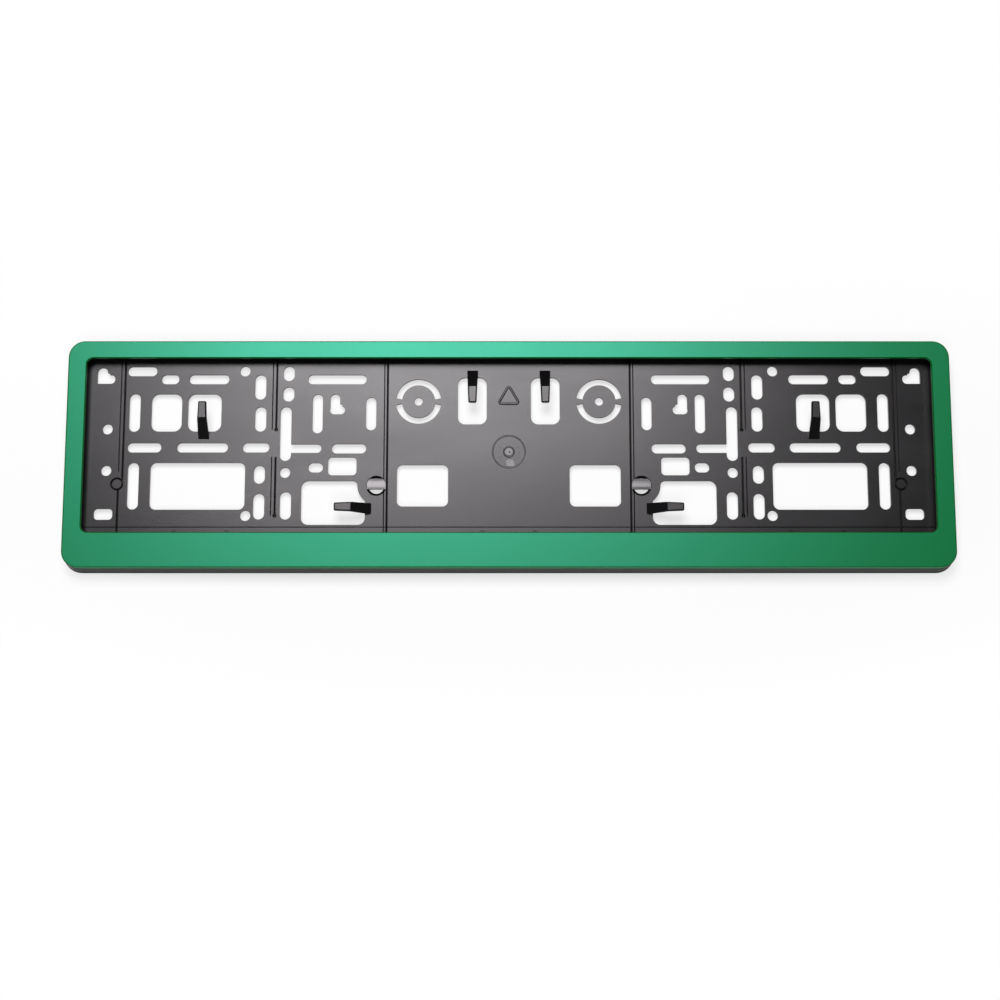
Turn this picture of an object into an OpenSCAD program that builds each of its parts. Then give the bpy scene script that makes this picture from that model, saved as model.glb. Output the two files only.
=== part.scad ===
// Holder for a car number plate: a moulded base plate that is screwed to the car
// and a moulded cover frame that clips over it and laps over the edge of the plate.
// It lies on its back here: x along the plate, y up the plate, z out of the front.

/* [Plate and frame] */
// width of the number plate that the holder takes
plate_w = 520; // [516:1:528]
// height of the number plate
plate_h = 110; // [106:1:116]
// clear gap between the plate and the tray wall
plate_gap = 0.8; // [0.4:0.1:1.2]
// how far the cover frame laps over each end of the plate
lap_side = 4.6; // [3.6:0.1:5.6]
// how far the cover frame laps over the top and bottom edge of the plate
lap_edge = 1.8; // [1.2:0.1:2.6]
// width of the two side bars of the cover frame
bar_side = 11.1; // [10:0.1:14]
// width of the top bar of the cover frame
bar_top = 10.5; // [10:0.1:14]
// width of the bottom bar of the cover frame
bar_bottom = 21.2; // [17:0.1:30]
// outer corner radius of the cover frame
corner_r = 10; // [7:0.5:14]
// corner radius of the window in the cover frame
window_r = 4; // [2.5:0.5:8]
// whole depth from the back to the front of the cover frame
depth = 14.4; // [14:0.2:17]

/* [Walls] */
// thickness of the perforated floor of the base plate
floor_t = 2; // [1.6:0.1:2.6]
// depth of the ribs and the edge wall behind the floor
back_rib = 2.4; // [1.6:0.2:4]
// thickness of the tray wall round the plate
tray_wall = 1.8; // [1.4:0.1:2.2]
// wall thickness of the cover frame
cover_t = 1.8; // [1.4:0.1:2.2]
// rounding of the outer front edge of the cover frame
edge_r = 0.9; // [0.4:0.1:1.3]
// how far the foot of the base plate stands out beyond the cover frame
flange = 1.8; // [1:0.1:3]
// height of the sloping edge of the base plate under the cover frame
skirt_h = 7.4; // [6:0.2:7.8]

/* [Fixing holes] */
// diameter of the round screw holes
hole_d = 6.3; // [5:0.1:7]
// width of the upright slots
slot_v = 6.8; // [5.5:0.1:7.6]
// width of the level slots
slot_h = 5.9; // [5:0.1:6.8]
// distance of the end screw holes from the end of the plate
end_hole = 16.4; // [15.5:0.1:17]
// height between the two end screw holes
end_hole_pitch = 25.6; // [22:0.1:28]
// half the distance between the two knock-out rings
ring_x = 54.9; // [54:0.1:56]
// outer diameter of the knock-out rings
ring_d = 27.6; // [25:0.1:28]

/* [Spring tongues] */
// length of a spring tongue from its root to its tip
tongue_l = 21.8; // [20:0.1:23]
// width of a spring tongue at its root
tongue_root = 6.6; // [5.5:0.1:7.5]
// width of a spring tongue at its tip
tongue_tip = 5; // [4:0.1:6]
// thickness of a spring tongue
tongue_t = 1.5; // [1.2:0.1:2]
// length of the flat pad at the tip of a spring tongue
tongue_pad = 10; // [8:0.1:11]

/* [Hidden] */
$fn = 32;
eps = 0.01;
window_w = plate_w - 2 * lap_side;
window_h = plate_h - 2 * lap_edge;
frame_w = window_w + 2 * bar_side;
frame_h = window_h + bar_top + bar_bottom;
// height of the middle of the plate above the middle of the frame
seat_y = (bar_bottom - bar_top) / 2;
floor_z = back_rib + floor_t;
seat_w = plate_w + 2 * plate_gap;
seat_h = plate_h + 2 * plate_gap;
seat_r = 7;
lip_z = depth - cover_t;
tray_top = lip_z - 0.6;
// how far the end features move when the plate is longer than standard
end_x = plate_w / 2 - 260;
// end screw holes, rib lines, latches and catches
hole_x = plate_w / 2 - end_hole;
hole_mid = -1.6;
rib_xs = [74.9, 142.2, 236 + end_x];
rib_t = 1.6;
latch_xs = [-185.8, 0, 185.8];
latch_w = 29.6;
slit_w = 2;
catch_z = floor_z + 3.8;
lug_xs = [-190, -64, 64, 190];
lug_z = skirt_h + 2;
lug_out = 1.5;
wall_y = seat_h / 2 + tray_wall;
// roots of the spring tongues from the middle of the plate, and the turn of each
tongue_spots = [[185, 5, 90], [22, 47.6, -90], [83, -37.6, 0]];
bridge = [80.1, -23.6];
bridge_d = 11.6;
pad_z = depth - 0.7;

// flat rounded rectangle about the middle
module rounded(w, h, r) {
    square([w - 2 * r, h], center = true);
    square([w, h - 2 * r], center = true);
    for (x = [-1, 1], y = [-1, 1])
        translate([x * (w / 2 - r), y * (h / 2 - r)]) circle(r);
}

// flat slots with round ends, level and upright
module level_slot(len, w) {
    square([len - w, w], center = true);
    for (x = [-1, 1]) translate([x * (len - w) / 2, 0]) circle(w / 2);
}

module upright_slot(len, w) {
    rotate(90) level_slot(len, w);
}

module both_sides() {
    children();
    mirror([1, 0, 0]) children();
}

// level slots: place along the plate, height from the middle of the plate, length
module level_slots() {
    for (s = [[223.4, 47.1, 17.9], [206.3, 42.1, 10.8], [182.6, 42.1, 24.4], [104.5, 42.1, 35.7],
              [220.9, -0.2, 20.6], [185.7, -0.2, 31], [153.2, -0.2, 16.2], [96.9, -0.8, 20.8],
              [116.9, -12.5, 8.9]])
        translate([s[0], s[1]]) level_slot(s[2], slot_h);
}

// upright slots in the same form
module upright_slots() {
    for (s = [[151.2, 37.3, 15.4], [227.4, 21.4, 23.5], [150.8, 17.4, 15.3], [227.1, -23.8, 28.6],
              [150.9, -16.8, 11], [150.9, -36.3, 15.7], [134, 45.7, 9.1], [134, 32.9, 9],
              [135.4, 8.4, 33.4], [134.8, -35.8, 16.8]])
        translate([s[0], s[1]]) upright_slot(s[2], slot_v);
    for (s = [[116.2, 20.8, 24.2], [83.7, 20.8, 20.4]])
        translate([s[0], s[1]]) upright_slot(s[2], slot_v - 0.6);
}

// windows with rounded corners: place, height, width, length up the plate, corner
module windows() {
    for (s = [[208, 21.4, 18.6, 23.3, 4.8], [184.9, 21.4, 20.4, 23.3, 4.8],
              [188.2, -23.8, 57.4, 28.8, 3.8], [100.8, -11.6, 17.2, 11.1, 2.4],
              [22.2, 28.7, 17.5, 29, 4.4], [52.2, -23.5, 30.9, 25.5, 3.4]])
        translate([s[0], s[1]]) rounded(s[2], s[3], s[4]);
    translate([244.6 + end_x, -41]) rounded(11.4, 6.7, 2.4);
}

// round screw holes
module round_holes() {
    for (s = [[160.8, 47.2], [158.9, -41.9], [135.4, -15.6]]) translate(s) circle(d = hole_d);
    for (y = [-1, 1]) translate([hole_x, hole_mid + y * end_hole_pitch / 2]) circle(d = hole_d);
    translate([ring_x, 28.4]) circle(d = 5);
}

// slots that are bent or joined
module joined_slots() {
    // level arm of the long upright slot
    translate([126, -0.7]) level_slot(24.8, 5.4);
    // short foot beside the long slot
    translate([105.6, 26.7]) upright_slot(12.6, slot_h);
    translate([104.2, 23.1]) level_slot(9.2, 5.2);
    translate([101.3, 24.6]) square([2, 2.2]);
    // corner slot at the upper end of the plate
    translate([end_x, 0]) {
        translate([247.7, 44.4]) upright_slot(10, 6.4);
        translate([242.7, 42.2]) circle(2.8);
        translate([242.7, 39.4]) square([5, 5.6]);
        translate([247.5, 39.4]) square([3.4, 5]);
        translate([243.2, 44]) square([2, 2]);
    }
    // big lower window that keeps clear of the bridged hole
    difference() {
        translate([106.1, -34]) rounded(38.6, 26.8, 4.4);
        translate(bridge) circle(11.4);
        difference() {
            translate(bridge) square([14.4, 5]);
            translate([bridge[0] + 14.4, bridge[1]]) circle(3);
        }
    }
}

// two bent slots that leave a round blank on two short pointed ties
module knock_out() {
    translate([ring_x, 28.4]) difference() {
        circle(d = ring_d);
        circle(d = ring_d - 7.4);
        for (a = [0, 180]) rotate(a)
            polygon([[8, -0.8], [8, 0.8], [15, 2.4], [15, -2.4]]);
    }
}

module hole_plan() {
    level_slots();
    upright_slots();
    windows();
    round_holes();
    joined_slots();
    knock_out();
}

// slits on both sides of each latch finger
module latch_slits() {
    for (x = latch_xs, s = [-1, 1])
        translate([x + s * (latch_w + slit_w) / 2, -seat_h / 2 - 1])
            square([slit_w, 7.6], center = true);
}

// spring tongue: rises from the floor along x and ends in a flat pad with bevelled edges
module tongue() {
    foot = 2.4;
    bevel = 0.8;
    taper = atan((tongue_root - tongue_tip) / 2 / (tongue_l - 1));
    difference() {
        tongue_body(foot);
        for (s = [-1, 1]) translate([tongue_l - 1, s * tongue_tip / 2, pad_z])
            rotate([0, 0, -s * taper]) rotate([45, 0, 0])
                cube([2 * tongue_pad + 4, bevel * sqrt(2), bevel * sqrt(2)], center = true);
        translate([tongue_l, 0, pad_z]) rotate([0, 45, 0])
            cube([bevel * sqrt(2), 20, bevel * sqrt(2)], center = true);
    }
}

module tongue_body(foot) {
    intersection() {
        rotate([90, 0, 0]) linear_extrude(height = 12, center = true)
            polygon([[0, floor_z - 0.8], [0, floor_z], [tongue_l - tongue_pad, pad_z],
                     [tongue_l, pad_z], [tongue_l, pad_z - tongue_t],
                     [tongue_l - tongue_pad + 0.7, pad_z - tongue_t],
                     [foot, floor_z], [foot, floor_z - 0.8]]);
        linear_extrude(height = depth + 2) {
            polygon([[0, -tongue_root / 2], [0, tongue_root / 2],
                     [tongue_l - 1, tongue_tip / 2], [tongue_l - 1, -tongue_tip / 2]]);
            translate([tongue_l - 1, 0]) square([2, tongue_tip - 2], center = true);
            for (y = [-1, 1]) translate([tongue_l - 1, y * (tongue_tip / 2 - 1)]) circle(1);
        }
    }
}

// funnel-shaped hole of the bridge, and the tilted bar across it
module bridge_hole() {
    translate([bridge[0], bridge[1], -1]) cylinder(d = bridge_d - 2.2, h = depth);
    translate([bridge[0], bridge[1], floor_z - 1.5])
        cylinder(d1 = bridge_d - 2.2, d2 = bridge_d + 2.8, h = 2.5);
}

module bridge_bar() {
    translate([bridge[0], bridge[1] + 1.1, 0]) intersection() {
        translate([0, 0, floor_z - 0.05]) rotate([-6.7, 0, 0]) translate([-20, -20, -10])
            cube([40, 40, 10]);
        translate([-bridge_d / 2, -3.2, back_rib]) cube([bridge_d, 6.4, 5]);
    }
}

// straight groove of triangular section, level or upright, and the end of one
module vee(from, to, wide) {
    w = wide / sqrt(2);
    dx = to[0] - from[0];
    dy = to[1] - from[1];
    translate([from[0], from[1], floor_z]) rotate([0, 0, atan2(dy, dx)])
        translate([sqrt(dx * dx + dy * dy) / 2, 0, 0]) rotate([45, 0, 0])
            cube([sqrt(dx * dx + dy * dy), w, w], center = true);
}

// fine flex grooves along the rib lines and the rings that mark the end bosses
module grooves() {
    g = 1.3;
    fine = 0.7;
    top = seat_h / 2 - 1;
    edge = window_h / 2 - 4.4;
    vee([0, -edge], [seat_w / 2 - 4, -edge], 0.56);
    vee([rib_xs[0] - 1.2, -top], [rib_xs[0] - 1.2, top], g);
    vee([rib_xs[0] + 0.7, -top], [rib_xs[0] + 0.7, top], fine);
    for (y = [[10.9, top], [-41.9, -5.9]]) {
        vee([rib_xs[1] - 1, y[0]], [rib_xs[1] - 1, y[1]], g);
        vee([rib_xs[1] + 1.4, y[0]], [rib_xs[1] + 1.4, y[1]], fine);
    }
    for (y = [10.9, -41.9]) translate([rib_xs[1] - 1, y, floor_z - 0.9])
        cylinder(r1 = 0.3, r2 = 1.5, h = 1.2);
    vee([rib_xs[2] - 2.4, -20], [rib_xs[2] - 2.4, top], g);
    vee([rib_xs[2], -15], [rib_xs[2], top], fine);
    vee([rib_xs[2], -top], [rib_xs[2], -26], g);
    translate([rib_xs[2] + 0.8, -22.5, floor_z]) rotate_extrude()
        translate([3.4, 0]) rotate(45) square(0.9, center = true);
    // blind ends of the slits beside the latch fingers
    for (x = [latch_xs[1], latch_xs[2]], s = [-1, 1]) if (x > 0 || s > 0)
        translate([x + s * (latch_w + slit_w) / 2 - 1.4, -seat_h / 2 + 1.2, floor_z - 0.9])
            cube([2.8, 3.6, 2]);
}

// block with sloping sides: the edge of the base plate leans in towards the cover frame
module skirt() {
    low = flange;
    high = 0.2;
    for (x = [-1, 1], y = [-1, 1])
        translate([x * (frame_w / 2 - corner_r), y * (frame_h / 2 - corner_r), 0])
            cylinder(r1 = corner_r + low, r2 = corner_r + high, h = skirt_h);
    rotate([90, 0, 90]) linear_extrude(height = frame_w - 2 * corner_r, center = true)
        polygon([[-frame_h / 2 - low, 0], [frame_h / 2 + low, 0],
                 [frame_h / 2 + high, skirt_h], [-frame_h / 2 - high, skirt_h]]);
    rotate([90, 0, 0]) linear_extrude(height = frame_h - 2 * corner_r, center = true)
        polygon([[-frame_w / 2 - low, 0], [frame_w / 2 + low, 0],
                 [frame_w / 2 + high, skirt_h], [-frame_w / 2 - high, skirt_h]]);
}

// base plate floor with its edge wall, tray wall, ribs and holes
module base_floor() {
    difference() {
        union() {
            difference() {
                skirt();
                translate([0, 0, floor_z]) linear_extrude(height = skirt_h)
                    rounded(frame_w - 2 * cover_t, frame_h - 2 * cover_t, corner_r - cover_t);
            }
            // tray wall round the plate
            translate([0, seat_y, floor_z - eps]) linear_extrude(height = tray_top - floor_z + eps)
                difference() {
                    rounded(seat_w + 2 * tray_wall, seat_h + 2 * tray_wall, seat_r + tray_wall);
                    rounded(seat_w, seat_h, seat_r);
                }
        }
        // hollow back between the ribs and the edge wall
        translate([0, 0, -1]) linear_extrude(height = back_rib + 1) difference() {
            rounded(frame_w + 2 * flange - 4, frame_h + 2 * flange - 4, corner_r + flange - 2);
            both_sides() for (x = rib_xs)
                translate([x - rib_t / 2, -frame_h]) square([rib_t, 2 * frame_h]);
            translate([-rib_t / 2, -frame_h]) square([rib_t, 2 * frame_h]);
        }
        translate([0, seat_y, -1]) linear_extrude(height = floor_z + 2) both_sides() hole_plan();
        translate([0, seat_y, -1]) linear_extrude(height = depth) latch_slits();
        translate([0, seat_y, 0]) both_sides() {
            grooves();
            bridge_hole();
        }
        // shallow round recess in the middle
        translate([0, seat_y - 2.7, floor_z - 0.5]) cylinder(r = 10.4, h = 2, $fn = 64);
    }
}

module base_plate() {
    color("#232325") {
        base_floor();
        translate([0, seat_y, 0]) {
            both_sides() {
                for (s = tongue_spots) translate([s[0], s[1], 0]) rotate([0, 0, s[2]]) tongue();
                bridge_bar();
            }
            // catches above the plate that hold the cover frame
            for (x = lug_xs) translate([x, wall_y - eps, lug_z]) rotate([90, 0, 90])
                linear_extrude(height = 24, center = true)
                    polygon([[-0.5, 0], [lug_out, 0], [lug_out, 0.6], [0, 2.6], [-0.5, 2.6]]);
            // barbs on the latch fingers below the plate
            for (x = latch_xs) translate([x, -wall_y + eps, catch_z]) rotate([90, 0, 90])
                linear_extrude(height = latch_w - 2, center = true)
                    polygon([[0.5, 0], [-1.8, 0], [-1.8, -0.5], [0, -2.2], [0.5, -2.2]]);
        }
    }
}

// side view of a plate with both front corners rounded
module soft_profile(w, t, e) {
    translate([-w / 2, 0]) square([w, t - e]);
    translate([e - w / 2, 0]) square([w - 2 * e, t]);
    for (x = [-1, 1]) translate([x * (w / 2 - e), t - e]) circle(e);
}

// plate with a rounded outer front edge
module soft_plate(w, h, r, t, e) {
    rotate([90, 0, 90]) linear_extrude(height = w - 2 * r, center = true) soft_profile(h, t, e);
    rotate([90, 0, 0]) linear_extrude(height = h - 2 * r, center = true) soft_profile(w, t, e);
    for (x = [-1, 1], y = [-1, 1]) translate([x * (w / 2 - r), y * (h / 2 - r), 0])
        rotate_extrude() intersection() {
            soft_profile(2 * r, t, e);
            square([r, t]);
        }
}

// cutter that breaks the front edge of the window at 45 degrees
module window_break(c) {
    translate([0, seat_y, depth - c]) {
        for (x = [-1, 1], y = [-1, 1])
            translate([x * (window_w / 2 - window_r), y * (window_h / 2 - window_r), 0])
                cylinder(r1 = window_r, r2 = window_r + c + 0.5, h = c + 0.5);
        for (y = [0, 180]) rotate([0, 0, y]) {
            translate([0, window_h / 2, 0]) rotate([90, 0, 90])
                linear_extrude(height = window_w - 2 * window_r, center = true)
                    polygon([[-1, 0], [0, 0], [c + 0.5, c + 0.5], [-1, c + 0.5]]);
            translate([window_w / 2, 0, 0]) rotate([90, 0, 0])
                linear_extrude(height = window_h - 2 * window_r, center = true)
                    polygon([[-1, 0], [0, 0], [c + 0.5, c + 0.5], [-1, c + 0.5]]);
        }
    }
}

module cover_frame() {
    color("#12a873") {
        difference() {
            translate([0, 0, skirt_h])
                soft_plate(frame_w, frame_h, corner_r, depth - skirt_h, edge_r);
            // hollow behind the bars, with a small turned-in bead round the window
            translate([0, 0, floor_z - 1]) linear_extrude(height = lip_z - floor_z + 1) difference() {
                rounded(frame_w - 2 * cover_t, frame_h - 2 * cover_t, corner_r - cover_t);
                translate([0, seat_y]) rounded(window_w + 2.4, window_h + 2.4, window_r + 1.2);
            }
            translate([0, seat_y, floor_z - 1]) linear_extrude(height = lip_z - 0.8 - floor_z + 1)
                rounded(window_w + 3, window_h + 3, window_r + 1.5);
            translate([0, seat_y, 0]) linear_extrude(height = depth + 2)
                rounded(window_w, window_h, window_r);
            window_break(0.5);
        }
        // ledges that hook under the catches of the base plate
        hook_y = frame_h / 2 - cover_t;
        for (x = lug_xs) translate([x - 14, seat_y + wall_y + 0.3, lug_z - 1.4])
            cube([28, hook_y - seat_y - wall_y - 0.3 + 0.5, 1.4]);
        // bars that the latch fingers catch under
        for (x = latch_xs) translate([x - latch_w / 2, seat_y - wall_y - 2.2, catch_z])
            cube([latch_w, 1.6, lip_z - catch_z + 0.2]);
    }
}

base_plate();
cover_frame();
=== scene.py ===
"""Looks of a two-part car number plate holder: a slotted black base under a green cover frame.

Sizes are in millimetres and angles in degrees, unless a comment says otherwise.
"""

import logging
import math
from dataclasses import dataclass, field
from enum import Enum
from typing import Any, Sequence

import bmesh
import bpy
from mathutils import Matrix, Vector


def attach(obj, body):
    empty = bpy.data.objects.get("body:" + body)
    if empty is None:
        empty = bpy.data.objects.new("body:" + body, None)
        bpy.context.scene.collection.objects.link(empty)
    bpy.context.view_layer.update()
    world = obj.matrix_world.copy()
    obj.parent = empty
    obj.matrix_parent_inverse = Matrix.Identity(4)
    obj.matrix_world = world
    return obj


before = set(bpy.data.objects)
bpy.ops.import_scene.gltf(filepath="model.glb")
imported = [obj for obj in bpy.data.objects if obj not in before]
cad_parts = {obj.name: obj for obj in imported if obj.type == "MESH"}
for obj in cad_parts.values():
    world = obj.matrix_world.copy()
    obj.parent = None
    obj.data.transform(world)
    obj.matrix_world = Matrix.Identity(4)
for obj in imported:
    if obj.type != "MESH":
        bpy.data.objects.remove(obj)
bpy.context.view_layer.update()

LOG = logging.getLogger("plate_holder")
MM = 0.001
ROOT = "root"
WHITE = (1.0, 1.0, 1.0, 1.0)
# added pieces reach this far into the moulding, so that no gap shows under them
SUNK = 0.05
# a ridge is upright to this share of its height, and its flat top has this share of its width
RIDGE_SHOULDER = 0.45
RIDGE_TOP = 0.55

Pair = tuple[float, float]
Point = Pair
Triple = tuple[float, float, float]


class CadNode(Enum):
    """The two mouldings, by their names in the frame."""

    BASE = "base_plate"
    COVER = "cover_frame"


def linear(hex_colour: str) -> tuple[float, float, float, float]:
    """Turns an sRGB hex colour into linear light.

    Args:
        hex_colour: Six hex digits, with or without a leading hash.

    Returns:
        Red, green, blue and alpha, from 0 to 1.
    """
    digits = hex_colour.lstrip("#")
    channels = [int(digits[i : i + 2], 16) / 255 for i in (0, 2, 4)]
    light = [c / 12.92 if c <= 0.04045 else ((c + 0.055) / 1.055) ** 2.4 for c in channels]
    return (light[0], light[1], light[2], 1.0)


def empty_tree(owner: bpy.types.Material | bpy.types.World) -> bpy.types.NodeTree:
    """Switches on the nodes of a material or world and clears its tree.

    Args:
        owner: The material or world.

    Returns:
        Its empty node tree.
    """
    owner.use_nodes = True
    owner.node_tree.nodes.clear()
    return owner.node_tree


def node(tree: bpy.types.NodeTree, kind: str, props: dict[str, Any] | None = None,
         values: dict[str | int, Any] | None = None) -> bpy.types.Node:
    """Adds a node with its settings and links.

    Args:
        tree: Node tree that takes the node.
        kind: Blender's name of the node type.
        props: Settings of the node itself.
        values: Socket name or number to a constant, or to an output socket that is linked to it.

    Returns:
        The new node.
    """
    made = tree.nodes.new(kind)
    for name, value in (props or {}).items():
        setattr(made, name, value)
    for name, value in (values or {}).items():
        socket = made.inputs[name]
        if isinstance(value, bpy.types.NodeSocket):
            tree.links.new(value, socket)
        else:
            socket.default_value = value
    return made


def refinish(moulding: CadNode, material: bpy.types.Material) -> bpy.types.Object:
    """Gives a CAD moulding its finish.

    Args:
        moulding: Which of the two mouldings.
        material: Its only material.

    Returns:
        The object of that moulding.
    """
    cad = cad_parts[moulding.value]
    cad.data.materials.clear()
    cad.data.materials.append(material)
    return cad


def dress(piece: bpy.types.Object, material: bpy.types.Material) -> bpy.types.Object:
    """Gives a small piece of the base plate its finish and ties it to the body that carries it.

    Args:
        piece: Piece made here, not a CAD moulding.
        material: Its only material.

    Returns:
        The same piece.
    """
    piece.data.materials.clear()
    piece.data.materials.append(material)
    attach(piece, ROOT)
    return piece


@dataclass(frozen=True)
class MouldedBlackPolypropylene:
    """Carbon-black polypropylene out of a fine spark-eroded mould."""

    # satin and nearly black, with a grey veil where the lamp glances off it
    name: str = "moulded_black_polypropylene"
    colour: str = "#0a090b"
    flow_colour: str = "#100f11"
    sheen_tint: str = "#fffafe"
    ior: float = 1.49
    roughness: float = 0.30
    roughness_swing: float = 0.03
    # melt flowed out from the middle of the plate, so the mottling is drawn out along it
    flow_mm: float = 45.0
    flow_stretch: Triple = (0.35, 1.0, 1.0)
    # the band of the mottling that the gloss follows
    flow_range: Pair = (0.3, 0.7)
    # real erosion grain is near 0.05 mm, too fine to show, so it is drawn seven times as coarse
    grain_mm: float = 0.35
    grain_depth: float = 0.1
    grain_strength: float = 0.12

    def material(self) -> bpy.types.Material:
        """Builds the node material.

        Returns:
            The material, with its patterns on object coordinates.
        """
        made = bpy.data.materials.new(self.name)
        tree = empty_tree(made)
        place = node(tree, "ShaderNodeTexCoord").outputs["Object"]
        flow_place = node(tree, "ShaderNodeMapping",
                          values={"Vector": place, "Scale": self.flow_stretch}).outputs[0]
        flow = node(tree, "ShaderNodeTexNoise",
                    values={"Vector": flow_place, "Scale": 1 / (self.flow_mm * MM), "Detail": 3.0,
                            "Roughness": 0.55, "Distortion": 0.6}).outputs["Fac"]
        colour = node(tree, "ShaderNodeMix", {"data_type": "RGBA"},
                      {"Factor": flow, "A": linear(self.colour), "B": linear(self.flow_colour)})
        gloss = node(tree, "ShaderNodeMapRange",
                     values={"Value": flow,
                             "From Min": self.flow_range[0], "From Max": self.flow_range[1],
                             "To Min": self.roughness - self.roughness_swing,
                             "To Max": self.roughness + self.roughness_swing})
        grain = node(tree, "ShaderNodeTexNoise",
                     values={"Vector": place, "Scale": 1 / (self.grain_mm * MM), "Detail": 2.0,
                             "Roughness": 0.5}).outputs["Fac"]
        bump = node(tree, "ShaderNodeBump",
                    values={"Height": grain, "Strength": self.grain_strength,
                            "Distance": self.grain_depth * MM})
        shader = node(tree, "ShaderNodeBsdfPrincipled",
                      values={"Base Color": colour.outputs["Result"],
                              "Roughness": gloss.outputs["Result"], "IOR": self.ior,
                              "Specular Tint": linear(self.sheen_tint),
                              "Normal": bump.outputs["Normal"]})
        node(tree, "ShaderNodeOutputMaterial", values={"Surface": shader.outputs["BSDF"]})
        return made


@dataclass(frozen=True)
class GreenLacquerOnABS:
    """Satin green lacquer sprayed on moulded ABS."""

    # an even, full green under a soft and broad sheen that turns it bluish, with faint orange peel
    name: str = "sprayed_green_lacquer_on_abs"
    colour: str = "#005f10"
    light_colour: str = "#006114"
    sheen_tint: str = "#76ffe5"
    sheen_level: float = 1.0
    sheen_ior: float = 1.56
    roughness: float = 0.38
    roughness_swing: float = 0.02
    # the spray lies a little thicker here and there
    cloud_mm: float = 60.0
    peel_mm: float = 1.6
    # real flakes of matting agent are under 0.02 mm, too fine to show, so they are drawn coarse
    speck_mm: float = 0.5
    speck_share: float = 0.35
    peel_depth: float = 0.1
    peel_strength: float = 0.10

    def material(self) -> bpy.types.Material:
        """Builds the node material.

        Returns:
            The material, with its patterns on object coordinates.
        """
        made = bpy.data.materials.new(self.name)
        tree = empty_tree(made)
        place = node(tree, "ShaderNodeTexCoord").outputs["Object"]
        cloud = node(tree, "ShaderNodeTexNoise",
                     values={"Vector": place, "Scale": 1 / (self.cloud_mm * MM),
                             "Detail": 3.0}).outputs["Fac"]
        colour = node(tree, "ShaderNodeMix", {"data_type": "RGBA"},
                      {"Factor": cloud, "A": linear(self.colour), "B": linear(self.light_colour)})
        gloss = node(tree, "ShaderNodeMapRange",
                     values={"Value": cloud, "To Min": self.roughness - self.roughness_swing,
                             "To Max": self.roughness + self.roughness_swing})
        peel = node(tree, "ShaderNodeTexNoise",
                    values={"Vector": place, "Scale": 1 / (self.peel_mm * MM),
                            "Detail": 1.0}).outputs["Fac"]
        speck = node(tree, "ShaderNodeTexNoise",
                     values={"Vector": place, "Scale": 1 / (self.speck_mm * MM),
                             "Detail": 2.0}).outputs["Fac"]
        height = node(tree, "ShaderNodeMix", {"data_type": "FLOAT"},
                      {"Factor": self.speck_share, "A": peel, "B": speck})
        bump = node(tree, "ShaderNodeBump",
                    values={"Height": height.outputs["Result"], "Strength": self.peel_strength,
                            "Distance": self.peel_depth * MM})
        shader = node(tree, "ShaderNodeBsdfPrincipled",
                      values={"Base Color": colour.outputs["Result"],
                              "Roughness": gloss.outputs["Result"], "IOR": self.sheen_ior,
                              "Specular IOR Level": self.sheen_level,
                              "Specular Tint": linear(self.sheen_tint),
                              "Normal": bump.outputs["Normal"]})
        node(tree, "ShaderNodeOutputMaterial", values={"Surface": shader.outputs["BSDF"]})
        return made


@dataclass(frozen=True)
class WhiteTable:
    """Matt white table top without a pattern."""

    # a soft shadow stays near the plate, and the rest of the table is the plain white of paper
    name: str = "matt_white_table"
    colour: str = "#f8f8f8"
    # share of plain white beside the plate, which grows to all between two distances, in metres
    near_share: float = 0.64
    near: float = 0.085
    far: float = 0.17
    # the plate is long, so distance counts for less along it
    narrowing: Triple = (0.35, 1.0, 1.0)

    def material(self) -> bpy.types.Material:
        """Builds the node material.

        Returns:
            The material of the table.
        """
        made = bpy.data.materials.new(self.name)
        tree = empty_tree(made)
        matt = node(tree, "ShaderNodeBsdfDiffuse", values={"Color": linear(self.colour)})
        glow = node(tree, "ShaderNodeEmission", values={"Color": WHITE, "Strength": 1.0})
        place = node(tree, "ShaderNodeTexCoord").outputs["Object"]
        narrow = node(tree, "ShaderNodeVectorMath", {"operation": "MULTIPLY"},
                      {0: place, 1: self.narrowing})
        away = node(tree, "ShaderNodeVectorMath", {"operation": "LENGTH"},
                    {0: narrow.outputs[0]})
        fade = node(tree, "ShaderNodeMapRange", {"interpolation_type": "SMOOTHSTEP"},
                    {"Value": away.outputs["Value"], "From Min": self.near, "From Max": self.far,
                     "To Min": self.near_share, "To Max": 1.0})
        seen = node(tree, "ShaderNodeLightPath").outputs["Is Camera Ray"]
        share = node(tree, "ShaderNodeMath", {"operation": "MULTIPLY"},
                     {0: seen, 1: fade.outputs[0]})
        mix = node(tree, "ShaderNodeMixShader",
                   values={0: share.outputs[0], 1: matt.outputs[0], 2: glow.outputs[0]})
        node(tree, "ShaderNodeOutputMaterial", values={"Surface": mix.outputs[0]})
        return made


def vertex(bm: bmesh.types.BMesh, x: float, y: float, z: float) -> bmesh.types.BMVert:
    """Adds a vertex at a place in millimetres to a mesh in metres."""
    return bm.verts.new((x * MM, y * MM, z * MM))


def skin(bm: bmesh.types.BMesh, low: Sequence[bmesh.types.BMVert],
         high: Sequence[bmesh.types.BMVert]) -> None:
    """Joins two closed rings of as many vertices with a band of quads.

    Args:
        bm: The mesh.
        low: Vertices of one ring.
        high: Vertices of the other, each opposite its partner.
    """
    for j in range(len(low)):
        k = (j + 1) % len(low)
        bm.faces.new((low[j], high[j], high[k], low[k]))


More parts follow.
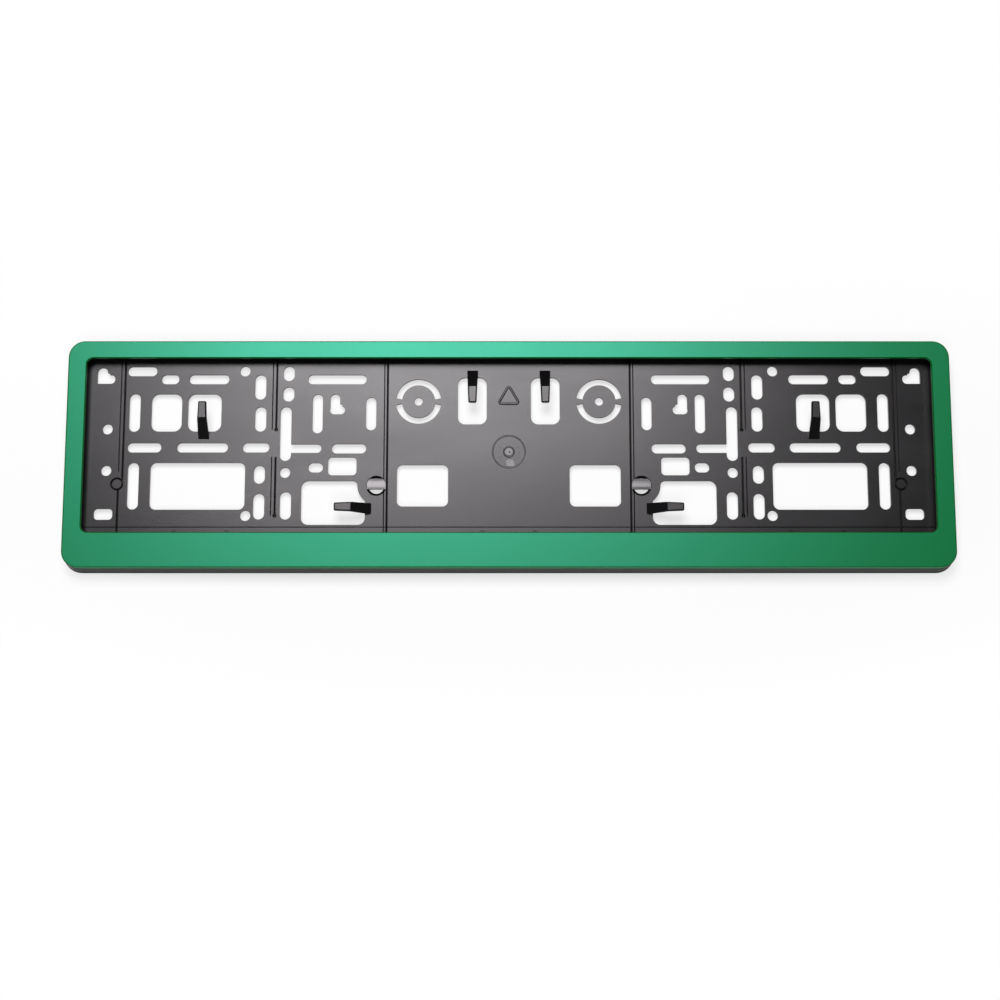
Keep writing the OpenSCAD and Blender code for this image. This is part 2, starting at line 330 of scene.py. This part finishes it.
def mesh_object(name: str, bm: bmesh.types.BMesh, smooth: bool = True) -> bpy.types.Object:
    """Turns a bmesh in metres into an object at the origin.

    Args:
        name: Name of the piece.
        bm: The mesh, freed here.
        smooth: Whether its faces are shaded smooth.

    Returns:
        The new object, linked to the scene.
    """
    bmesh.ops.remove_doubles(bm, verts=bm.verts, dist=1e-7)
    bmesh.ops.recalc_face_normals(bm, faces=bm.faces)
    for face in bm.faces:
        face.smooth = smooth
    mesh = bpy.data.meshes.new(name)
    bm.to_mesh(mesh)
    bm.free()
    made = bpy.data.objects.new(name, mesh)
    bpy.context.scene.collection.objects.link(made)
    return made


def circle(centre: Point, radius: float, steps: int) -> list[Point]:
    """Spaces a number of points evenly round a circle, anticlockwise."""
    turns = (math.tau * i / steps for i in range(steps))
    return [(centre[0] + radius * math.cos(a), centre[1] + radius * math.sin(a)) for a in turns]


def rounded_path(corners: Sequence[Point], radius: float, steps: int = 8) -> list[Point]:
    """Rounds the corners of a closed outline.

    Args:
        corners: Corner points, anticlockwise.
        radius: Corner radius, in the same unit.
        steps: Number of short sides on each corner.

    Returns:
        Points of the rounded outline.
    """
    points: list[Point] = []
    for i, here in enumerate(corners):
        corner = Vector(here)
        back = (Vector(corners[i - 1]) - corner).normalized()
        ahead = (Vector(corners[(i + 1) % len(corners)]) - corner).normalized()
        half = back.angle(ahead) / 2
        reach = radius / math.tan(half)
        middle = corner + (back + ahead).normalized() * (radius / math.sin(half))
        start, end = corner + back * reach - middle, corner + ahead * reach - middle
        turn = start.angle_signed(end)
        for s in range(steps + 1):
            angle = -turn * s / steps
            x = start.x * math.cos(angle) - start.y * math.sin(angle)
            y = start.x * math.sin(angle) + start.y * math.cos(angle)
            points.append((middle.x + x, middle.y + y))
    return points


def ridge_along(name: str, path: Sequence[Point], z: float, width: float,
                height: float) -> bpy.types.Object:
    """Makes a closed rounded ridge that stands on a flat face.

    Args:
        name: Name of the piece.
        path: Points of the closed path, in millimetres.
        z: Height of the face it stands on, in millimetres.
        width: Width of the ridge at its foot, in millimetres.
        height: Height of the ridge, in millimetres.

    Returns:
        The ridge as a closed mesh.
    """
    bm = bmesh.new()
    half, shoulder = width / 2, height * RIDGE_SHOULDER
    section = [(-half, -SUNK), (-half, shoulder), (-half * RIDGE_TOP, height),
               (half * RIDGE_TOP, height), (half, shoulder), (half, -SUNK)]
    rings = []
    for i, (x, y) in enumerate(path):
        before, after = Vector(path[i - 1]), Vector(path[(i + 1) % len(path)])
        along = (after - before).normalized()
        across = Vector((along.y, -along.x))
        rings.append([vertex(bm, x + across.x * u, y + across.y * u, z + h) for u, h in section])
    for i, ring in enumerate(rings):
        skin(bm, ring, rings[(i + 1) % len(rings)])
    return mesh_object(name, bm)


def lathe(name: str, centre: Point, profile: Sequence[Point], steps: int = 32) -> bpy.types.Object:
    """Turns a profile about an upright axis.

    Args:
        name: Name of the piece.
        centre: Place of the axis, in millimetres.
        profile: Radius and height of each point in millimetres, with both ends on the axis.
        steps: Number of sides.

    Returns:
        The turned piece as a closed mesh.
    """
    bm = bmesh.new()
    ends = [vertex(bm, *centre, z) for _, z in (profile[0], profile[-1])]
    rings = [[vertex(bm, x, y, z) for x, y in circle(centre, radius, steps)]
             for radius, z in profile[1:-1]]
    for i in range(steps):
        k = (i + 1) % steps
        bm.faces.new((ends[0], rings[0][k], rings[0][i]))
        bm.faces.new((ends[1], rings[-1][i], rings[-1][k]))
        for low, high in zip(rings, rings[1:]):
            bm.faces.new((low[i], low[k], high[k], high[i]))
    return mesh_object(name, bm)


def slanted_pad(name: str, outline: Sequence[Point], face: float,
                heights: Pair) -> bpy.types.Object:
    """Makes a small pad whose flat top falls towards the top edge of the plate.

    Args:
        name: Name of the piece.
        outline: Points of the closed outline, anticlockwise, in millimetres.
        face: Height of the face it stands on, in millimetres.
        heights: How far its top stands over that face at its far and its near end.

    Returns:
        The pad as a closed mesh.
    """
    bm = bmesh.new()
    near, far = min(y for _, y in outline), max(y for _, y in outline)
    low, high = face + heights[0], face + heights[1]
    under = [vertex(bm, x, y, face - SUNK) for x, y in outline]
    top = [vertex(bm, x, y, high + (low - high) * (y - near) / (far - near)) for x, y in outline]
    bm.faces.new(list(reversed(under)))
    bm.faces.new(top)
    skin(bm, under, top)
    return mesh_object(name, bm, smooth=False)


@dataclass
class NodeRecipe:
    """A geometry node tree with named inputs, run once and turned into a plain mesh."""

    name: str
    tree: bpy.types.NodeTree = field(init=False)
    entry: bpy.types.Node = field(init=False)

    def __post_init__(self) -> None:
        """Starts the tree with its geometry sockets."""
        self.tree = bpy.data.node_groups.new(self.name, "GeometryNodeTree")
        face = self.tree.interface
        face.new_socket("Geometry", in_out="OUTPUT", socket_type="NodeSocketGeometry")
        face.new_socket("Geometry", in_out="INPUT", socket_type="NodeSocketGeometry")
        self.entry = self.tree.nodes.new("NodeGroupInput")

    def add_input(self, name: str, kind: str) -> bpy.types.NodeSocket:
        """Adds an input of a socket type and returns its socket inside the tree."""
        self.tree.interface.new_socket(name, in_out="INPUT", socket_type=kind)
        return self.entry.outputs[name]

    def close(self, instances: bpy.types.NodeSocket, material: bpy.types.NodeSocket) -> None:
        """Ends the tree: realises the instances and gives them their material.

        Args:
            instances: Geometry with the instances.
            material: The material input.
        """
        real = node(self.tree, "GeometryNodeRealizeInstances", values={0: instances})
        dressed = node(self.tree, "GeometryNodeSetMaterial",
                       values={"Geometry": real.outputs[0], "Material": material})
        out = self.tree.nodes.new("NodeGroupOutput")
        self.tree.links.new(dressed.outputs[0], out.inputs["Geometry"])

    def run(self, spots: Sequence[Point], z: float, values: dict[str, Any]) -> bpy.types.Object:
        """Runs the tree on loose points and keeps the result as a mesh.

        Args:
            spots: Places of the points, in millimetres.
            z: Height of them all, in millimetres.
            values: Input name to value.

        Returns:
            The piece as a plain mesh object at the origin.
        """
        points = bpy.data.meshes.new(self.name + "_points")
        points.from_pydata([(x * MM, y * MM, z * MM) for x, y in spots], [], [])
        made = bpy.data.objects.new(self.name, points)
        bpy.context.scene.collection.objects.link(made)
        modifier = made.modifiers.new(self.name, "NODES")
        modifier.node_group = self.tree
        for item in self.tree.interface.items_tree:
            if item.in_out == "INPUT" and item.name in values:
                modifier[item.identifier] = values[item.name]
        bpy.context.view_layer.update()
        ready = made.evaluated_get(bpy.context.evaluated_depsgraph_get())
        mesh = bpy.data.meshes.new_from_object(ready)
        made.modifiers.clear()
        made.data = mesh
        return made


@dataclass(frozen=True)
class Lamp:
    """A soft rectangular lamp that looks at the plate, with places and sizes in metres."""

    name: str
    place: Triple
    target: Triple
    size: Pair
    watts: float

    def build(self) -> None:
        """Adds the lamp to the scene."""
        data = bpy.data.lights.new(self.name, "AREA")
        data.shape = "RECTANGLE"
        data.size, data.size_y = self.size
        data.energy = self.watts
        made = bpy.data.objects.new(self.name, data)
        made.location = self.place
        look = Vector(self.target) - Vector(self.place)
        made.rotation_euler = look.to_track_quat("-Z", "Y").to_euler()
        bpy.context.scene.collection.objects.link(made)


@dataclass
class Studio:
    """White table, soft lamps and the camera of the photograph, with places in metres."""

    # found by fitting a camera to the edges of the cover frame
    camera_place: Triple = (-0.00537, -0.1873, 1.0202)
    camera_tilt: float = 8.97
    camera_clip: Pair = (0.01, 50.0)
    lens_mm: float = 61.4
    sensor_mm: float = 36.0
    table_half: float = 6.0
    # the world is white to the camera and gives this much light to the rest
    world_level: float = 0.05
    table: WhiteTable = field(default_factory=WhiteTable)
    lamps: Sequence[Lamp] = (
        # one big soft box behind and above the plate: the satin plastics mirror it, with its
        # brightest part left of the middle, and fall off to near black at the right end
        Lamp("soft_box", (-0.135, 0.611, 1.50), (0.0, 0.0, 0.0), (0.775, 0.733), 23.9),
        # a weaker one above the near edge lights the table at the foot of the holder
        Lamp("front_fill", (-0.1, -0.9, 1.55), (0.0, 0.0, 0.0), (1.2, 0.7), 8.0),
    )

    def build(self) -> None:
        """Adds the table, the lamps, the world and the camera."""
        self.build_table()
        for lamp in self.lamps:
            lamp.build()
        self.build_world()
        self.build_camera()

    def build_table(self) -> None:
        """Adds the table, which belongs to the scene and not to the part."""
        bm = bmesh.new()
        half = self.table_half
        bm.faces.new([bm.verts.new((x * half, y * half, 0.0))
                      for x, y in ((-1, -1), (1, -1), (1, 1), (-1, 1))])
        table = mesh_object("table", bm, smooth=False)
        table.data.materials.append(self.table.material())

    def build_world(self) -> None:
        """Sets a pale even world that only the camera sees as white."""
        world = bpy.data.worlds.new("studio")
        tree = empty_tree(world)
        seen = node(tree, "ShaderNodeLightPath").outputs["Is Camera Ray"]
        level = node(tree, "ShaderNodeMapRange",
                     values={"Value": seen, "To Min": self.world_level, "To Max": 1.0})
        back = node(tree, "ShaderNodeBackground",
                    values={"Color": WHITE, "Strength": level.outputs[0]})
        node(tree, "ShaderNodeOutputWorld", values={"Surface": back.outputs[0]})
        bpy.context.scene.world = world

    def build_camera(self) -> None:
        """Adds the camera at the photograph's place and lens."""
        data = bpy.data.cameras.new("camera")
        data.sensor_width = self.sensor_mm
        data.lens = self.lens_mm
        data.clip_start, data.clip_end = self.camera_clip
        made = bpy.data.objects.new("camera", data)
        made.location = self.camera_place
        made.rotation_euler = (math.radians(self.camera_tilt), 0.0, 0.0)
        bpy.context.scene.collection.objects.link(made)
        bpy.context.scene.camera = made


@dataclass
class DateDial:
    """The date dial in the shallow recess of the floor, and the gate scar beside it.

    Heights are measured from the face of the recess.
    """

    face: float
    centre: Point = (0.0, 2.65)
    # middle radius, width at the foot and height
    ring: Triple = (3.1, 0.9, 0.35)
    rim: Triple = (9.8, 0.8, 0.16)
    ring_steps: int = 64
    button_radius: float = 2.2
    button_steps: int = 40
    button_heights: Pair = (0.06, 0.46)
    pip_offset: Point = (0.4, -0.2)
    # radius and height of each point of its outline
    pip_profile: Sequence[Point] = ((0.0, 0.0), (0.5, 0.0), (0.5, 0.45), (0.3, 0.6), (0.0, 0.62))
    scar_corners: Sequence[Point] = ((-1.2, -9.0), (3.4, -9.0), (3.2, -4.9), (-1.6, -4.9))
    scar_round: float = 0.8
    scar_heights: Pair = (0.05, 0.46)
    tick_count: int = 12
    tick_ring: float = 6.4
    tick_size: Triple = (1.1, 0.5, 0.5)
    tick_middle: float = 0.05

    def build(self, plastic: bpy.types.Material) -> list[bpy.types.Object]:
        """Builds and dresses the small forms of the dial.

        Args:
            plastic: Finish of the base plate, which they are moulded with.

        Returns:
            The pieces.
        """
        x, y = self.centre
        made = []
        for name, (radius, width, height) in (("dial_ring", self.ring), ("recess_rim", self.rim)):
            path = circle(self.centre, radius, self.ring_steps)
            made.append(ridge_along(name, path, self.face, width, height))
        button = circle(self.centre, self.button_radius, self.button_steps)
        made.append(slanted_pad("dial_button", button, self.face, self.button_heights))
        axis = (x + self.pip_offset[0], y + self.pip_offset[1])
        profile = [(radius, self.face + height) for radius, height in self.pip_profile]
        made.append(lathe("dial_pip", axis, profile))
        corners = [(x + across, y + up) for across, up in self.scar_corners]
        scar = rounded_path(corners, self.scar_round)
        made.append(slanted_pad("gate_scar", scar, self.face, self.scar_heights))
        made.append(self.build_ticks(plastic))
        return [dress(piece, plastic) for piece in made]

    def build_ticks(self, plastic: bpy.types.Material) -> bpy.types.Object:
        """Makes the plain ticks round the dial.

        Args:
            plastic: Finish of the ticks.

        Returns:
            The ticks as one mesh.
        """
        recipe = NodeRecipe("dial_ticks")
        count = recipe.add_input("Count", "NodeSocketInt")
        radius = recipe.add_input("Radius", "NodeSocketFloat")
        size = recipe.add_input("Tick Size", "NodeSocketVector")
        finish = recipe.add_input("Material", "NodeSocketMaterial")
        tree = recipe.tree
        ring = node(tree, "GeometryNodeMeshCircle", values={"Vertices": count, "Radius": radius})
        tick = node(tree, "GeometryNodeMeshCube", values={"Size": size})
        here = node(tree, "GeometryNodeInputPosition").outputs[0]
        turn = node(tree, "FunctionNodeAlignRotationToVector", {"axis": "X"}, {"Vector": here})
        ticks = node(tree, "GeometryNodeInstanceOnPoints",
                     values={"Points": ring.outputs["Mesh"], "Instance": tick.outputs["Mesh"],
                             "Rotation": turn.outputs[0]})
        # the ring is copied to the one point that marks the middle of the dial
        dial = node(tree, "GeometryNodeInstanceOnPoints",
                    values={"Points": recipe.entry.outputs["Geometry"],
                            "Instance": ticks.outputs[0]})
        recipe.close(dial.outputs[0], finish)
        return recipe.run([self.centre], self.face + self.tick_middle,
                          {"Count": self.tick_count, "Radius": self.tick_ring * MM,
                           "Tick Size": tuple(side * MM for side in self.tick_size),
                           "Material": plastic})


@dataclass
class PinMarks:
    """The round marks that the ejector pins left on the back of the floor.

    The pins stand on a grid, wherever it meets plain floor between the holes and the ribs.
    """

    # height of the back of the floor
    back: float
    pitch: Pair = (34.5, 19.7)
    columns: int = 8
    rows: int = 7
    lowest_row: float = -58.0
    # radius with no hole and no rib in it, felt for with this many rays from this height
    clear: float = 3.2
    rays: int = 12
    ray_start: float = -1.0
    tolerance: float = 0.02
    radius: float = 2.5
    sides: int = 28
    # half of this stands out of the floor and half is inside it
    depth: float = 0.8
    # pins never end at quite the same height, so each mark has another share of the depth
    share: Pair = (0.55, 1.0)
    seed: int = 7

    def is_plain(self, cad: bpy.types.Object, spot: Point) -> bool:
        """Tells whether the back of the floor is flat all round a place.

        Args:
            cad: The CAD base plate.
            spot: The place, in millimetres.

        Returns:
            Whether a ray from below meets the flat back at the place and all round it.
        """
        for x, y in [spot, *circle(spot, self.clear, self.rays)]:
            start = (x * MM, y * MM, self.ray_start * MM)
            hit, place, _, _ = cad.ray_cast(start, (0.0, 0.0, 1.0))
            if not hit or abs(place.z - self.back * MM) > self.tolerance * MM:
                return False
        return True

    def spots(self, cad: bpy.types.Object) -> list[Point]:
        """Finds the places of the pins.

        Args:
            cad: The CAD base plate.

        Returns:
            The places, in millimetres.
        """
        across, up = self.pitch
        grid = [(side * (column + 0.5) * across, self.lowest_row + row * up)
                for row in range(self.rows) for column in range(self.columns) for side in (-1, 1)]
        return [spot for spot in grid if self.is_plain(cad, spot)]

    def build(self, cad: bpy.types.Object,
              plastic: bpy.types.Material) -> list[bpy.types.Object]:
        """Builds and dresses the marks.

        Args:
            cad: The CAD base plate.
            plastic: Finish of the base plate.

        Returns:
            The marks as one piece.
        """
        recipe = NodeRecipe("ejector_pin_marks")
        radius = recipe.add_input("Radius", "NodeSocketFloat")
        depth = recipe.add_input("Depth", "NodeSocketFloat")
        seed = recipe.add_input("Seed", "NodeSocketInt")
        finish = recipe.add_input("Material", "NodeSocketMaterial")
        tree = recipe.tree
        disc = node(tree, "GeometryNodeMeshCylinder",
                    values={"Vertices": self.sides, "Radius": radius, "Depth": depth})
        uneven = node(tree, "FunctionNodeRandomValue", {"data_type": "FLOAT"},
                      {"Min": self.share[0], "Max": self.share[1], "Seed": seed})
        scale = node(tree, "ShaderNodeCombineXYZ",
                     values={"X": 1.0, "Y": 1.0, "Z": uneven.outputs["Value"]})
        marks = node(tree, "GeometryNodeInstanceOnPoints",
                     values={"Points": recipe.entry.outputs["Geometry"],
                             "Instance": disc.outputs["Mesh"], "Scale": scale.outputs[0]})
        recipe.close(marks.outputs[0], finish)
        made = recipe.run(self.spots(cad), self.back,
                          {"Radius": self.radius * MM, "Depth": self.depth * MM,
                           "Seed": self.seed, "Material": plastic})
        return [dress(made, plastic)]


@dataclass
class BridgeBars:
    """The slightly crowned tops of the bars across the two bridged round holes."""

    # middle of the right-hand hole, and how far from it the tops reach
    centre: Point = (80.1, -18.25)
    reach: float = 5.5
    # y and z of the middle of a top, and how it falls towards the plate's top edge
    middle: Point = (-17.15, 4.35)
    half: float = 2.9
    tilt: float = 6.7
    crown: float = 0.2
    steps: int = 16
    # the halves of the mould close on each other there, and steel that rubs is polished: the
    # plastic has a clearer and brighter sheen than the satin floor round it
    finish: MouldedBlackPolypropylene = MouldedBlackPolypropylene(
        name="polished_black_polypropylene", ior=1.52, roughness=0.2)

    def build(self) -> list[bpy.types.Object]:
        """Builds and dresses both tops.

        Returns:
            Both tops as one piece.
        """
        bm = bmesh.new()
        for side in (-1, 1):
            rings = [self.ring(bm, side, 2 * i / self.steps - 1) for i in range(self.steps + 1)]
            bm.faces.new(rings[0])
            bm.faces.new(list(reversed(rings[-1])))
            for low, high in zip(rings, rings[1:]):
                skin(bm, low, high)
        return [dress(mesh_object("bar_tops", bm, smooth=False), self.finish.material())]

    def ring(self, bm: bmesh.types.BMesh, side: int, share: float) -> list[bmesh.types.BMVert]:
        """Adds the four corners of one cross-section of a top.

        Args:
            bm: The mesh.
            side: Left (-1) or right (1) hole.
            share: Place on the bar, from -1 at its near edge to 1 at its far edge.

        Returns:
            The corners.
        """
        y = self.middle[0] + share * self.half
        flat = self.middle[1] - math.tan(math.radians(self.tilt)) * share * self.half
        top, foot = flat + self.crown * (1 - share * share), flat - SUNK
        wide = math.sqrt(self.reach ** 2 - (y - self.centre[1]) ** 2)
        return [vertex(bm, side * self.centre[0] + x, y, z)
                for x, z in ((-wide, foot), (wide, foot), (wide, top), (-wide, top))]


@dataclass
class BasePlate:
    """The black moulding with its small moulding marks."""

    floor_top: float = 4.4
    floor_back: float = 2.4
    recess_depth: float = 0.5
    mark_centre: Point = (0.0, 38.0)
    # width and height of the triangle, and width and height of its ridge
    mark_size: Pair = (13.0, 11.4)
    mark_round: float = 1.2
    mark_line: Pair = (1.5, 0.5)
    finish: MouldedBlackPolypropylene = field(default_factory=MouldedBlackPolypropylene)

    def build(self) -> list[bpy.types.Object]:
        """Dresses the CAD base plate and adds its moulding marks.

        Returns:
            The CAD base plate and the added pieces.
        """
        plastic = self.finish.material()
        cad = refinish(CadNode.BASE, plastic)
        return [cad, dress(self.build_triangle(), plastic),
                *DateDial(self.floor_top - self.recess_depth).build(plastic),
                *PinMarks(self.floor_back).build(cad, plastic), *BridgeBars().build()]

    def build_triangle(self) -> bpy.types.Object:
        """Makes the plain rounded triangle above the dial.

        Returns:
            The raised triangle.
        """
        x, y = self.mark_centre
        half, up = self.mark_size[0] / 2, self.mark_size[1] / 2
        path = rounded_path([(x - half, y - up), (x + half, y - up), (x, y + up)], self.mark_round)
        return ridge_along("plain_triangle_mark", path, self.floor_top, *self.mark_line)


@dataclass
class CoverFrame:
    """The green moulding round the plate."""

    finish: GreenLacquerOnABS = field(default_factory=GreenLacquerOnABS)

    def build(self) -> list[bpy.types.Object]:
        """Dresses the CAD cover frame and returns it alone in a list."""
        return [refinish(CadNode.COVER, self.finish.material())]


def main() -> None:
    """Builds the studio, dresses the two mouldings and reports each piece."""
    logging.basicConfig(level=logging.INFO, format="%(name)s: %(message)s")
    bpy.context.scene.view_settings.view_transform = "Standard"
    Studio().build()
    for piece in BasePlate().build() + CoverFrame().build():
        LOG.info("%s: %d faces of %s", piece.name, len(piece.data.polygons),
                 piece.data.materials[0].name)


if __name__ == "__main__":
    main()
